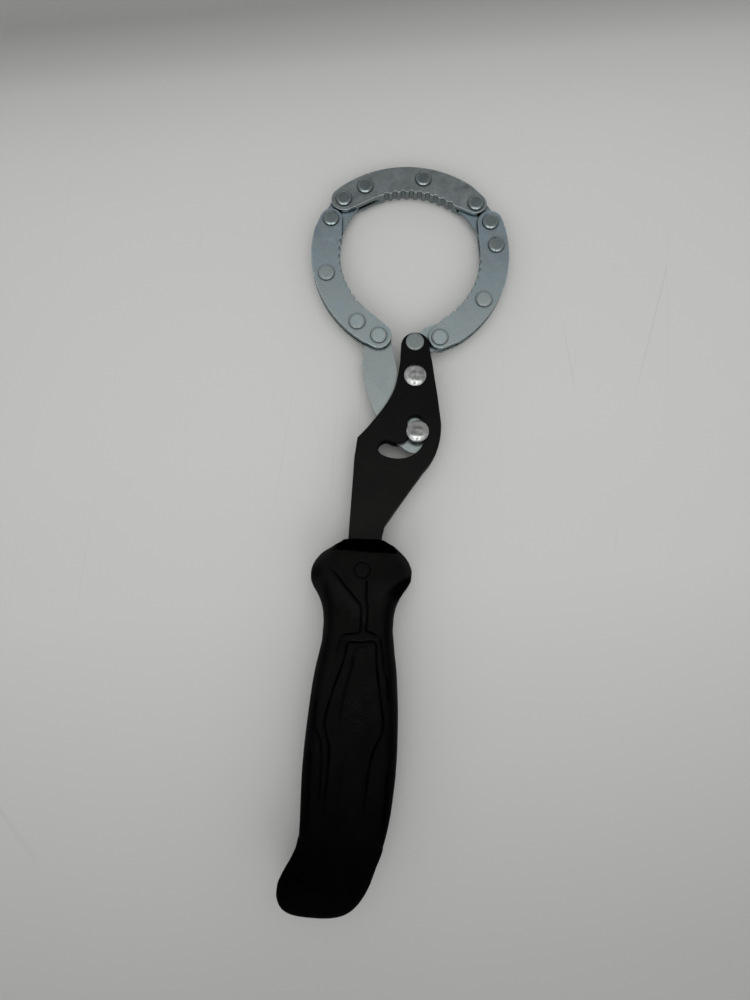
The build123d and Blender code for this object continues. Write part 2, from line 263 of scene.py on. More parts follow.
def scratches(net, scale, angle, width, loc=(0, 0, 0)):
    """long thin marks: cells of a stretched pattern, of which few are kept"""
    v = net.map(scale=(1.0, 0.06, 1.0), rot=(0, 0, angle), loc=loc)
    cells = net.voronoi(scale, "DISTANCE_TO_EDGE", src=v)
    line = net.range(cells, 0.0, width, 1.0, 0.0, True)
    few = net.range(net.noise(scale * 0.35, 2.0, 0.5, src=net.map(loc=(loc[0] + 3.1, 1.7, 0.4))), 0.56, 0.66, 0.0, 1.0, True)
    return net.math("MULTIPLY", line, few)


# ---------------------------------------------------------------- materials
def zinc(name, tint, rough, cloud=1.0, rim=False, hue=1.0, warm=False):
    m, nt, b = new_material(name)
    n = Net(nt)
    big = n.noise(95.0, 4.0, 0.55, distort=0.8)
    mid = n.noise(330.0, 3.0, 0.6, src=n.map(loc=(0.3, 0.1, 0.7)), distort=0.4)
    fine = n.noise(2100.0, 3.0, 0.6)
    r, g, bl = tint
    base = n.ramp(big, [
        (0.28, (r * (0.92 - 0.08 * hue), g * 0.92, bl * (0.93 + 0.08 * hue))),
        (0.44, (r * 1.00, g * 1.00, bl * 0.985)),
        (0.57, (r * (0.97 - 0.06 * hue), g * 0.975, bl * (0.98 + 0.04 * hue))),
        (0.74, (r * 1.05, g * 1.05, bl * 1.02)),
    ])
    film = n.ramp(mid, [
        (0.30, (0.90, 0.96, 0.93)),
        (0.50, (1.00, 1.00, 1.00)),
        (0.68, (0.95, 0.975, 1.00)),
    ])
    colour = n.mix(0.34 * cloud, base, film, "MULTIPLY")
    grain = n.range(fine, 0.35, 0.65, 0.965, 1.02)
    gray = nt.nodes.new("ShaderNodeCombineColor")
    for i in range(3):
        n.link(grain, gray.inputs[i])
    colour = n.mix(1.0, colour, gray.outputs["Color"], "MULTIPLY")
    marks = scratches(n, 420.0, 0.5, 0.02)
    marks2 = scratches(n, 300.0, -0.9, 0.016, (0.9, 0.2, 0.1))
    both = n.math("MAXIMUM", marks, marks2)
    colour = n.mix(n.math("MULTIPLY", both, 0.16), colour, (0.80, 0.83, 0.84))
    # painted shade: the cut edges, which face sideways, are painted darker than the faces
    up = n.facing_up()
    painted_edge_shade = n.range(up, 0.60, 0.86, 0.74, 0.0, True)
    colour = n.mix(painted_edge_shade, colour, (r * 0.16, g * 0.18, bl * 0.18))
    if rim:
        # painted shade on the heads: darker towards the top jaw and on their slopes, and the slopes of the lower heads
        # made a flat grey non-metal without highlight
        at = nt.nodes.new("ShaderNodeSeparateXYZ")
        n.link(n.co, at.inputs[0])
        low = n.range(at.outputs["Y"], 0.100, 0.124, 0.84, 0.0, True)
        # painted shade: the heads are darker towards the top jaw
        colour = n.mix(1.0, colour, n.ramp(n.range(at.outputs["Y"], 0.070, 0.145), [(0.0, (1.0, 1.0, 1.0)), (0.35, (0.96, 0.96, 0.96)), (0.60, (0.72, 0.72, 0.72)), (1.0, (0.60, 0.60, 0.60))]), "MULTIPLY")
        slope = n.range(up, 0.90, 0.985, 1.0, 0.0, True)
        # painted shade on the slopes of the heads
        colour = n.mix(slope, colour, n.mix(1.0, colour, (0.60, 0.60, 0.60), "MULTIPLY"))
        # painted shade: the slopes of the lower heads lose their highlight
        painted_shade = n.math("MULTIPLY", low, slope)
        colour = n.mix(painted_shade, colour, (0.205, 0.232, 0.232))
        # painted shade at the foot of the head, where it turns down to the plate
        colour = n.mix(n.range(up, 0.55, 0.815, 0.92, 0.0, True), colour, (r * 0.07, g * 0.08, bl * 0.08))
    if warm:
        # less blue towards the handle
        where = nt.nodes.new("ShaderNodeSeparateXYZ")
        n.link(n.co, where.inputs[0])
        colour = n.mix(n.range(where.outputs["Y"], 0.080, 0.118, 1.0, 0.0, True), colour, n.mix(1.0, colour, (1.09, 1.05, 0.975), "MULTIPLY"))
    # painted shade near other faces: joints, rivet feet, notches
    crevice_shade = n.crevice(0.0015, 0.30, 0.96)
    colour = n.mix(crevice_shade, (0.022, 0.026, 0.026), colour)
    n.link(colour, b.inputs["Base Color"])
    b.inputs["Metallic"].default_value = 1.0
    if rim:
        n.link(n.range(painted_shade, 0.0, 1.0, 1.0, 0.0), b.inputs["Metallic"])
    ro = n.math("ADD", n.range(big, 0.3, 0.7, rough - 0.05, rough + 0.06), n.range(mid, 0.3, 0.7, -0.035, 0.045))
    n.link(ro, b.inputs["Roughness"])
    h = n.math("ADD", n.math("MULTIPLY", fine, 0.35), n.math("MULTIPLY", mid, 0.9))
    n.link(n.bump(h, 0.042, 0.00006), b.inputs["Normal"])
    return m


def polished(name):
    m, nt, b = new_material(name)
    n = Net(nt)
    big = n.noise(420.0, 3.0, 0.55, distort=0.5)
    fine = n.noise(2600.0, 2.0, 0.6)
    tone = n.ramp(big, [(0.36, (0.32, 0.33, 0.325)), (0.46, (0.49, 0.50, 0.49)), (0.54, (0.41, 0.42, 0.415)), (0.64, (0.62, 0.63, 0.62))])
    wide = n.ramp(n.noise(150.0, 2.0, 0.5, src=n.map(loc=(0.4, 0.2, 0.0))), [(0.35, (0.80, 0.80, 0.79)), (0.65, (1.06, 1.06, 1.05))])
    tone = n.mix(1.0, tone, wide, "MULTIPLY")
    # painted shade near other faces
    crevice_shade = n.crevice(0.0010, 0.30, 0.85)
    n.link(n.mix(crevice_shade, (0.02, 0.02, 0.02), tone), b.inputs["Base Color"])
    b.inputs["Metallic"].default_value = 1.0
    n.link(n.range(big, 0.35, 0.65, 0.14, 0.25), b.inputs["Roughness"])
    h = n.math("ADD", n.math("MULTIPLY", fine, 0.25), big)
    n.link(n.bump(h, 0.22, 0.00006), b.inputs["Normal"])
    return m


def black_steel(name):
    m, nt, b = new_material(name)
    n = Net(nt)
    big = n.noise(70.0, 3.0, 0.5)
    peel = n.noise(1250.0, 2.0, 0.5)
    fine = n.noise(4200.0, 2.0, 0.5)
    colour = n.ramp(big, [(0.3, (0.0026, 0.0027, 0.0026)), (0.55, (0.0040, 0.0040, 0.0037)), (0.75, (0.0032, 0.0034, 0.0034))])
    marks = scratches(n, 260.0, 0.35, 0.014, (0.2, 0.5, 0.0))
    marks2 = scratches(n, 340.0, -1.1, 0.012, (0.7, 0.1, 0.3))
    both = n.math("MAXIMUM", marks, marks2)
    colour = n.mix(n.math("MULTIPLY", both, 0.10), colour, (0.035, 0.035, 0.033))
    # painted light and shade: the coat is painted lighter towards the grip and darker towards the nose, and the cut
    # edges and the joints are painted dark as shade and bare of sheen
    at = nt.nodes.new("ShaderNodeSeparateXYZ")
    n.link(n.co, at.inputs[0])
    painted_light_to_grip = n.range(at.outputs["Y"], -0.010, 0.062, 1.0, 0.0, True)
    colour = n.mix(painted_light_to_grip, n.mix(1.0, colour, (0.45, 0.48, 0.46), "MULTIPLY"), n.mix(1.0, colour, (1.55, 1.55, 1.45), "MULTIPLY"))
    # painted shade on the cut edges and in the joints
    up = n.facing_up()
    crevice_shade = n.math("MULTIPLY", n.crevice(0.0030, 0.30, 0.85), n.range(up, 0.25, 0.80, 0.05, 1.0, True))
    colour = n.mix(crevice_shade, (0.0005, 0.0005, 0.0005), colour)
    n.link(n.range(crevice_shade, 0.0, 1.0, 0.01, 0.13), b.inputs["Specular IOR Level"])
    n.link(colour, b.inputs["Base Color"])
    n.link(n.math("ADD", n.range(big, 0.3, 0.7, 0.40, 0.48), n.range(peel, 0.3, 0.7, -0.03, 0.03)), b.inputs["Roughness"])
    h = n.math("ADD", peel, n.math("MULTIPLY", fine, 0.35))
    h = n.math("SUBTRACT", h, n.math("MULTIPLY", both, 0.3))
    n.link(n.bump(h, 0.30, 0.00007), b.inputs["Normal"])
    return m


def grip_plastic(name):
    m, nt, b = new_material(name)
    n = Net(nt)
    big = n.noise(60.0, 3.0, 0.5)
    spark = n.noise(2600.0, 3.0, 0.65)
    pits = n.voronoi(2400.0, "F1")
    coarse = n.voronoi(950.0, "F1", src=n.map(loc=(0.2, 0.4, 0.1)))
    patch = n.attribute("patch")
    smooth = n.attribute("smooth")
    colour = n.ramp(big, [(0.3, (0.0013, 0.0013, 0.0012)), (0.5, (0.0023, 0.0022, 0.0019)), (0.72, (0.0017, 0.0017, 0.0016))])
    line = n.attribute("line")
    up = n.facing_up()
    along = nt.nodes.new("ShaderNodeSeparateXYZ")
    n.link(n.co, along.inputs[0])
    # painted shade: deeper black towards the butt, greyer towards the guard; the sheen also grows towards the guard
    painted_light_to_guard = n.range(along.outputs["Y"], -0.140, -0.045, 0.0, 1.0, True)
    colour = n.mix(painted_light_to_guard, n.mix(1.0, colour, (0.30, 0.30, 0.31), "MULTIPLY"), colour)
    # painted shade on the let-in flanks and the side bands
    dark_patch_shade = n.attribute("painted_shade")
    colour = n.mix(n.math("MULTIPLY", dark_patch_shade, 0.75), colour, (0.0003, 0.0003, 0.0004))
    # painted shade in the grooves and on the front of the guard
    colour = n.mix(line, colour, (0.0001, 0.0001, 0.0001))
    n.link(colour, b.inputs["Base Color"])
    # the flanks of the moulding are dull, and no sheen reaches the bottom of a furrow
    shine = n.math("MULTIPLY", n.range(up, 0.30, 0.92, 0.10, 1.0, True), n.math("SUBTRACT", 1.0, line))
    shine = n.math("MULTIPLY", shine, n.range(dark_patch_shade, 0.0, 1.0, 1.0, 0.08))
    shine = n.math("MULTIPLY", shine, n.range(n.noise(210.0, 4.0, 0.6, src=n.map(scale=(1.0, 0.45, 1.0)), distort=0.6), 0.32, 0.68, 0.72, 1.22))
    shine = n.math("MULTIPLY", shine, n.range(spark, 0.35, 0.65, 0.85, 1.15))
    b.inputs["IOR"].default_value = 1.45
    ro = n.math("ADD", n.range(big, 0.3, 0.7, 0.38, 0.45), n.range(spark, 0.3, 0.7, -0.04, 0.04))
    ro = n.math("ADD", ro, n.math("MULTIPLY", smooth, 0.12))
    n.link(ro, b.inputs["Roughness"])
    n.link(n.math("MULTIPLY", shine, n.math("ADD", n.math("MULTIPLY", painted_light_to_guard, 0.082), 0.010)), b.inputs["Specular IOR Level"])
    h = n.math("ADD", n.math("MULTIPLY", spark, 0.6), n.math("MULTIPLY", pits, 0.5))
    h = n.math("MULTIPLY", h, n.math("SUBTRACT", 1.0, n.math("MULTIPLY", smooth, 0.6)))
    h = n.math("ADD", h, n.math("MULTIPLY", n.math("MULTIPLY", coarse, 4.5), patch))
    n.link(n.bump(h, 0.45, 0.00010), b.inputs["Normal"])
    return m


M_ZINC = zinc("zinc_plated_steel", (0.540, 0.635, 0.685), 0.25, 1.0, False, 1.0, True)
# a darker, less blue copy of the zinc for the top jaw: painted shade, as the top jaw lies in dimmer light
M_TOP_SHADED = zinc("zinc_plated_steel_top_shaded", (0.495, 0.552, 0.562), 0.25, 1.0, False, 0.3)
M_ARM = zinc("zinc_plated_steel_arm", (0.545, 0.612, 0.612), 0.24, 0.6, False, 0.2)
M_RIVET = zinc("zinc_plated_rivet", (0.64, 0.735, 0.74), 0.17, 0.8, True, 0.5)
M_NOSE = zinc("zinc_plated_rivet_nose", (0.405, 0.465, 0.455), 0.18, 1.0, True, 0.3)
M_POLISH = polished("polished_rivet")
M_BLACK = black_steel("black_coated_steel")
M_GRIP = grip_plastic("moulded_grip")

SLOTS = {s["node"]: s["material_slot"] for s in frame["record"]["subparts"]}
BY_SLOT = {"zinc_plate": M_ZINC, "zinc_rivet": M_RIVET, "polished_rivet": M_POLISH, "black_steel": M_BLACK, "grip": M_GRIP}
for name, o in nodes.items():
    o.data.materials.clear()
    made = BY_SLOT[SLOTS[name]]
    # the top jaw gets the shaded copy
    if made is M_ZINC and name.startswith("top_jaw"):
        made = M_TOP_SHADED
    if made is M_ZINC and name == "arm":
        made = M_ARM
    if name == "nose_pivot_rivet":
        made = M_NOSE
    o.data.materials.append(made)

# ---------------------------------------------------------------- grip
# rows from the guard to the butt: left end x, y; right end x, y; half thickness
ROWS = [
    (-23.6, -84.30, -7.00, -83.70, 5.4),
    (-24.8, -85.30, -5.10, -84.80, 6.6),
    (-26.4, -86.50, -2.80, -86.20, 12.0),
    (-28.9, -88.30, -0.20, -88.30, 12.5),
    (-31.7, -90.32, 1.95, -90.32, 12.7),
    (-33.7, -92.80, 3.55, -92.80, 12.85),
    (-35.0, -95.40, 4.45, -95.60, 12.9),
    (-35.5, -98.20, 4.35, -98.60, 12.9),
    (-35.3, -100.60, 3.35, -101.20, 12.85),
    (-34.3, -103.10, 1.50, -104.10, 12.6),
    (-32.3, -106.10, -0.10, -107.30, 12.2),
    (-30.6, -109.40, -1.20, -110.90, 11.8),
    (-29.5, -113.00, -1.62, -114.40, 11.5),
    (-28.95, -118.0, -1.66, -118.40, 11.4),
    (-28.95, -123.0, -1.00, -123.20, 11.6),
    (-29.7, -128.6, -0.20, -128.60, 11.9),
    (-30.6, -134.0, 0.75, -134.00, 12.3),
    (-31.4, -141.0, 1.55, -141.00, 12.7),
    (-31.95, -149.0, 2.28, -149.00, 12.9),
    (-32.35, -157.0, 2.70, -157.00, 12.9),
    (-32.65, -165.0, 2.93, -165.00, 12.9),
    (-32.70, -172.0, 2.90, -172.00, 12.9),
    (-32.50, -179.5, 2.50, -179.50, 12.8),
    (-32.20, -186.5, 1.95, -186.50, 12.6),
    (-31.95, -192.0, 1.20, -192.00, 12.4),
    (-31.90, -196.2, 0.15, -197.20, 12.2),
    (-32.3, -200.2, -1.00, -201.6, 12.2),
    (-33.8, -204.4, -2.25, -205.0, 12.4),
    (-35.7, -208.2, -3.30, -208.4, 12.5),
    (-37.2, -211.4, -4.45, -211.8, 12.4),
    (-38.2, -214.4, -5.95, -215.0, 12.0),
    (-38.35, -217.0, -7.70, -217.9, 11.2),
    (-37.7, -219.5, -9.90, -220.4, 10.0),
    (-36.2, -221.6, -12.5, -222.1, 8.2),
    (-33.9, -222.85, -15.7, -223.05, 6.0),
    (-30.9, -223.30, -19.6, -223.38, 3.6),
    (-28.2, -223.40, -22.9, -223.43, 1.6),
    (-25.7, -223.44, -25.5, -223.44, 0.12),
]

# engraved lines of the upper face (the lower face carries the same)
LINES = [
    # line, half width, depth
    ([(-26.9, -97.3), (-25.0, -98.9), (-22.6, -101.6), (-19.9, -104.5), (-17.0, -107.6), (-15.1, -109.6), (-14.45, -111.2),
      (-14.2, -115.0), (-14.15, -119.4), (-14.9, -120.5), (-17.9, -121.1), (-20.9, -121.6)], 0.48, 0.50),
    ([(-13.1, -100.1), (-12.75, -104.0), (-12.5, -108.4), (-12.0, -110.2), (-11.85, -114.9), (-11.95, -118.5), (-11.3, -119.8),
      (-9.6, -120.2), (-6.9, -121.4)], 0.48, 0.50),
    ([(-20.9, -121.6), (-21.3, -123.2), (-22.6, -128.0)], 0.40, 0.18),
    ([(-15.6, -128.4), (-16.3, -133.7), (-17.4, -138.6), (-18.4, -143.0), (-18.9, -148.6)], 0.45, 0.26),
    ([(-6.6, -121.6), (-5.4, -126.4), (-4.2, -133.6), (-2.9, -137.0), (-2.2, -140.8), (-1.6, -146.2)], 0.50, 0.34),
    ([(-28.7, -146.0), (-28.9, -151.0), (-28.6, -155.6), (-27.0, -158.6), (-25.8, -161.4), (-25.3, -166.5), (-24.9, -174.5), (-24.7, -181.0)], 0.50, 0.34),
    ([(-29.3, -165.0), (-29.0, -174.0), (-28.6, -182.0), (-28.4, -189.0)], 0.55, 0.26),
    ([(-0.6, -170.0), (-0.6, -180.0), (-0.9, -189.0)], 0.55, 0.30),
]
PANEL = [(-18.3, -124.5), (-13.9, -124.1), (-8.2, -123.7), (-7.3, -129.1), (-6.5, -135.0), (-5.4, -140.4), (-4.3, -146.0),
         (-3.2, -152.0), (-3.35, -156.4), (-5.0, -160.4), (-6.5, -164.2), (-7.3, -169.7), (-7.8, -176.0), (-8.3, -183.0),
         (-8.9, -190.0), (-10.0, -192.4), (-15.9, -193.4), (-21.9, -194.3), (-23.1, -193.2), (-22.9, -188.0), (-22.8, -181.8),
         (-22.5, -174.0), (-22.4, -166.6), (-22.7, -162.2), (-24.0, -158.6), (-25.0, -154.8), (-24.9, -151.6), (-24.1, -147.7),
         (-22.9, -142.2), (-21.4, -137.4), (-20.2, -133.2), (-19.2, -129.1)]
PATCH = [(-15.3, -126.8), (-9.6, -126.4), (-8.6, -133.0), (-7.0, -142.0), (-6.6, -150.0), (-8.4, -156.4), (-14.0, -158.2),
         (-18.6, -155.6), (-19.2, -149.0), (-18.5, -142.5), (-16.8, -134.0)]
CIRCLE = ((-14.95, -96.9), 3.05)


def outline_ring(points, per=6):
    """smooth closed line through the points"""
    p = np.asarray(points, float)
    n = len(p)
    out = []
    for i in range(n):
        a, b, c, d = p[(i - 1) % n], p[i], p[(i + 1) % n], p[(i + 2) % n]
        for k in range(per):
            t = k / per
            out.append(0.5 * ((2 * b) + (c - a) * t + (2 * a - 5 * b + 4 * c - d) * t * t
                              + (3 * b - a - 3 * c + d) * t ** 3))
    return np.array(out)


def groove(d, half, depth):
    """a rounded furrow with softened lips"""
    g = -depth * (1 - smoothstep(0.0, half * 1.45, d))
    lip = 0.03 * depth * np.exp(-((d - half * 1.9) / (half * 0.6)) ** 2)
    return g + lip


def grip_relief(xy):
    """height of the moulded pattern over the plain body, in mm"""
    x, y = xy[:, 0], xy[:, 1]
    h = np.zeros(len(xy))
    # fan of the guard: the flanks beside it are let in
    left = catmull([(-37.5, -96.6), (-33.5, -95.6), (-29.8, -95.9), (-26.9, -97.3), (-25.0, -98.9), (-22.6, -101.6),
                    (-19.9, -104.5), (-17.0, -107.6), (-15.1, -109.6), (-14.4, -111.2)], 6)
    d, s, _ = distance(xy, left)
    low = (s < 0) & (y > -125)
    h -= np.where(low, 0.60 * smoothstep(0.6, 5.0, d) * (1 - smoothstep(5.0, 13.0, d)), 0.0)
    # painted shade: the let-in parts are painted darker
    painted_shade = 0.75 * np.exp(-((x + 33.4) / 3.4) ** 2 - ((y + 98.6) / 3.2) ** 2)
    right = catmull([(6.0, -94.6), (2.6, -96.6), (-1.1, -99.3), (-4.0, -102.0), (-6.4, -104.2), (-9.6, -107.0), (-12.2, -110.0)], 6)
    d, s, share = distance(xy, right)
    low = (s > 0) & (y > -125)
    sunk = np.where(low, smoothstep(0.0, 3.2, d) * (1 - smoothstep(4.0, 11.0, d)), 0.0) * (1 - smoothstep(0.42, 0.80, share))
    h -= 1.25 * sunk
    painted_shade = np.maximum(painted_shade, np.minimum(1.0, sunk * 1.35))
    # painted shade: two dark bands are painted down the sides of the waist and of the hand part
    side_l = np.interp(-y, [96, 104, 112, 120, 134, 150, 170, 195], [-31.5, -28.8, -26.4, -26.0, -28.0, -29.6, -30.2, -30.0])
    side_r = np.interp(-y, [96, 104, 112, 120, 134, 150, 170, 195], [2.5, -2.2, -4.0, -3.9, -2.0, -0.2, 0.6, -0.6])
    run = smoothstep(-203.0, -190.0, y) * (1 - smoothstep(-106.0, -99.0, y))
    painted_shade = np.maximum(painted_shade, 0.70 * run * np.exp(-((x - side_l) / 1.9) ** 2))
    painted_shade = np.maximum(painted_shade, 0.80 * run * np.exp(-((x - side_r) / 1.7) ** 2))
    # grooves
    g = np.zeros(len(xy))
    # painted shade: the grooves are painted near-black
    painted_black_shade = np.zeros(len(xy))
    for pts, half, depth in LINES:
        line = catmull(pts, 6)
        d, _, share = distance(xy, line)
        fade = smoothstep(0.0, 0.05, share) * (1 - smoothstep(0.95, 1.0, share)) * 0.6 + 0.4
        g = np.minimum(g, groove(d, half, depth) * fade)
        uneven = 0.80 + 0.20 * np.sin(share * 17.0 + pts[0][0]) * np.sin(share * 7.3 + 1.1)
        painted_black_shade = np.maximum(painted_black_shade, np.exp(-(d / (half * 1.02)) ** 4) * fade * min(1.0, 0.30 + 1.5 * depth) * uneven)
    # ring engraved in the guard, the field inside it slightly sunk
    r = np.hypot(x - CIRCLE[0][0], y - CIRCLE[0][1])
    g = np.minimum(g, groove(np.abs(r - CIRCLE[1]), 0.36, 0.34))
    # painted shade in the ring's groove
    painted_black_shade = np.maximum(painted_black_shade, 0.62 * np.exp(-(np.abs(r - CIRCLE[1]) / 0.40) ** 4))
    h -= 0.10 * (1 - smoothstep(CIRCLE[1] - 0.5, CIRCLE[1], r))
    # long panel: outlined by a furrow, slightly proud inside
    ring = outline_ring(PANEL, 5)
    closed = np.vstack([ring, ring[:1]])
    d, _, _ = distance(xy, closed)
    ins = inside(xy, ring)
    fade = smoothstep(-189.0, -173.0, y)
    g = np.minimum(g, groove(d, 0.50, 0.52) * fade)
    # painted shade in the panel's furrow
    painted_black_shade = np.maximum(painted_black_shade, np.exp(-(d / 0.50) ** 4) * fade * (0.86 + 0.14 * np.sin(y * 0.45)))
    h += np.where(ins, 0.22 * smoothstep(0.4, 1.8, d), 0.0) * fade
    # textured field in the panel, let in a little
    ring = outline_ring(PATCH, 5)
    closed = np.vstack([ring, ring[:1]])
    d, _, _ = distance(xy, closed)
    pin = inside(xy, ring)
    h -= np.where(pin, 0.20 * smoothstep(0.0, 0.9, d), 0.0)
    # painted shade along the left edge of the textured field, fading out towards the butt
    painted_black_shade = np.maximum(painted_black_shade, 0.45 * np.exp(-(d / 0.5) ** 2) * (x < -11.5 + (y + 140) * 0.05) * smoothstep(-158, -150, y))
    return h + g, np.where(pin, smoothstep(0.0, 0.8, d), 0.0), painted_black_shade, painted_shade


def build_grip():
    rows = np.array(ROWS)
    mid = np.stack([(rows[:, 0] + rows[:, 2]) / 2, (rows[:, 1] + rows[:, 3]) / 2], 1)
    edge = np.maximum(np.hypot(np.diff(rows[:, 0]), np.diff(rows[:, 1])), np.hypot(np.diff(rows[:, 2]), np.diff(rows[:, 3])))
    step = np.maximum(edge, np.abs(np.diff(rows[:, 4])) * 0.8)
    t = np.concatenate([[0], np.cumsum(step)])
    count = 430
    q = np.linspace(0, 1, count)
    tt = t[-1] * q
    lx, ly, rx, ry, hz = [pchip(t, rows[:, k], tt) for k in range(5)]
    n_exp = 2.55
    # positions round the section, in shares of the superellipse
    ref = np.linspace(0, 2 * math.pi, 20001)
    e = 2.0 / n_exp
    rx0 = 17.0 * np.sign(np.cos(ref)) * np.abs(np.cos(ref)) ** e
    rz0 = 12.6 * np.sign(np.sin(ref)) * np.abs(np.sin(ref)) ** e
    arc = np.concatenate([[0], np.cumsum(np.hypot(np.diff(rx0), np.diff(rz0)))])
    dens = np.where((rz0 > 9.0), 1 / 0.36, np.where(rz0 < -9.0, 1 / 0.56, np.where(np.abs(rz0) < 0.6, 1 / 0.22, 1 / 0.72)))
    acc = np.concatenate([[0], np.cumsum(0.5 * (dens[1:] + dens[:-1]) * np.diff(arc))])
    around = int(round(acc[-1]))
    sel = np.interp(np.arange(around) / around * acc[-1], acc, ref)
    ce = np.sign(np.cos(sel)) * np.abs(np.cos(sel)) ** e
    se = np.sign(np.sin(sel)) * np.abs(np.sin(sel)) ** e
    X = (lx + rx)[:, None] / 2 + (rx - lx)[:, None] / 2 * ce[None, :]
    Y = (ly + ry)[:, None] / 2 + (ry - ly)[:, None] / 2 * ce[None, :]
    Z = hz[:, None] * se[None, :]
    # sloped front of the guard
    bev = 5.0 + 1.55 * (-85.20 - Y)
    top = smooth_min(np.abs(Z), np.maximum(bev, 4.6), 0.45)
    Z = np.where(np.abs(Z) > 3.5, np.sign(Z) * np.maximum(top, 3.5), Z)
    P = np.stack([X, Y, Z], 2)
    # normals of the plain body
    du = np.roll(P, -1, 1) - np.roll(P, 1, 1)
    dv = np.empty_like(P)
    dv[1:-1] = P[2:] - P[:-2]
    dv[0] = P[1] - P[0]
    dv[-1] = P[-1] - P[-2]
    N = np.cross(du, dv)
    ln = np.linalg.norm(N, axis=2, keepdims=True)
    N = N / np.maximum(ln, 1e-9)
    centre = np.stack([(lx + rx) / 2, (ly + ry) / 2, np.zeros_like(lx)], 1)[:, None, :]
    flip = np.sign(np.sum(N * (P - centre), axis=2, keepdims=True).mean())
    N = N * flip
    flat = np.stack([X.ravel(), Y.ravel()], 1)
    rel, patch, painted_black_shade, painted_shade = grip_relief(flat)
    rel = rel.reshape(X.shape)
    patch = patch.reshape(X.shape)
    painted_black_shade = painted_black_shade.reshape(X.shape)
    painted_shade = painted_shade.reshape(X.shape)
    face = smoothstep(0.30, 0.62, np.abs(N[:, :, 2]))
    back = 1 - smoothstep(-91.6, -90.0, Y)
    # painted shade: the sloped front of the guard is painted near-black
    painted_front_shade = smoothstep(-90.0, -89.3, Y) * (0.45 + 0.55 * smoothstep(-28.8, -24.8, X) * (1 - smoothstep(-3.4, -0.4, X)))
    painted_black_shade = np.maximum(painted_black_shade * face * back, painted_front_shade)
    disp = rel * face * back
    # the butt stands a little proud of the hand part, past a cross step
    step_line = -197.4 + (X + 32.0) * (-0.055)
    proud = 1 - smoothstep(-0.7, 0.7, Y - step_line)
    endfade = smoothstep(-222.8, -213.0, Y)
    disp += (0.24 * proud - 0.05 * np.exp(-((Y - step_line - 1.0) / 0.8) ** 2)) * endfade
    # parting line of the mould along both sides
    disp += 0.10 * np.exp(-(P[:, :, 2] / 0.32) ** 2) * smoothstep(-222.2, -219.0, Y)
    P = P + N * disp[:, :, None]
    # the flat on the underside
    P[:, :, 2] = np.maximum(P[:, :, 2], -12.2)
    m, k = P.shape[:2]
    verts = place(P.reshape(-1, 3))
    faces = []
    for i in range(m - 1):
        a = i * k
        for j in range(k):
            j2 = (j + 1) % k
            faces.append((a + j, a + j2, a + k + j2, a + k + j))
    faces.append(tuple(range(k)))
    faces.append(tuple((m - 1) * k + j for j in reversed(range(k))))
    me = bpy.data.meshes.new("moulded_grip")
    me.from_pydata([tuple(v) for v in verts], [], faces)
    me.update()
    import bmesh
    bm = bmesh.new()
    bm.from_mesh(me)
    bmesh.ops.recalc_face_normals(bm, faces=bm.faces)
    bm.to_mesh(me)
    bm.free()
    a = me.attributes.new("patch", "FLOAT", "POINT")
    a.data.foreach_set("value", (patch * np.where(N[:, :, 2] > 0.3, 1, np.where(N[:, :, 2] < -0.3, 1, 0))).ravel().astype(np.float32))
    a = me.attributes.new("smooth", "FLOAT", "POINT")
    a.data.foreach_set("value", proud.ravel().astype(np.float32))
    a = me.attributes.new("painted_shade", "FLOAT", "POINT")
    a.data.foreach_set("value", painted_shade.ravel().astype(np.float32))
    # the painted shade of the grooves and of the guard's front is stored as the line attribute
    a = me.attributes.new("line", "FLOAT", "POINT")
    a.data.foreach_set("value", painted_black_shade.ravel().astype(np.float32))
    for p in me.polygons:
        p.use_smooth = True
    o = bpy.data.objects.new("moulded_grip", me)
    bpy.context.scene.collection.objects.link(o)
    me.materials.append(M_GRIP)
    return o


grip = build_grip()
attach(grip, "handle")
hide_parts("grip")

# ---------------------------------------------------------------- floor
TILT = math.radians(2.7)
PIVOT_Y = -0.0205
FLOOR_Z = -0.0002


def floor_material():
    m, nt, b = new_material("pale_floor")
    n = Net(nt)
    big = n.noise(3.2, 3.0, 0.5)
    fine = n.noise(220.0, 3.0, 0.6)
    base = n.ramp(big, [(0.3, (0.588, 0.592, 0.575)), (0.7, (0.610, 0.614, 0.598))])
    # painted shade: the floor is painted darker towards the front and the back, with a slight slant across, for the
    # fall-off of the light
    at = nt.nodes.new("ShaderNodeSeparateXYZ")
    n.link(n.co, at.inputs[0])
    wave = n.math("ADD", at.outputs["Y"], n.range(at.outputs["X"], -0.2, 0.2, 0.032, -0.032))
    painted_shade = n.ramp(n.range(wave, -0.30, 0.30), [(k, (v, v, v)) for k, v in (
        (0.0, 0.62), (0.20, 0.73), (0.33, 0.87), (0.45, 0.99), (0.56, 1.005), (0.66, 0.99), (0.74, 0.975), (0.79, 0.94), (0.816, 0.89), (0.848, 0.80),
        (0.873, 0.64), (0.905, 0.47), (1.0, 0.62))])
    base = n.mix(1.0, base, painted_shade, "MULTIPLY")
    lines = scratches(n, 26.0, 0.35, 0.0035, (0.31, 0.77, 0.0))
    lines2 = scratches(n, 31.0, -0.25, 0.003, (0.11, 0.27, 0.0))
    both = n.math("MAXIMUM", lines, lines2)
    col = n.mix(n.math("MULTIPLY", both, 0.35), base, (0.40, 0.39, 0.37))
    n.link(col, b.inputs["Base Color"])
    n.link(n.range(fine, 0.3, 0.7, 0.42, 0.5), b.inputs["Roughness"])
    b.inputs["Specular IOR Level"].default_value = 0.3
    return m


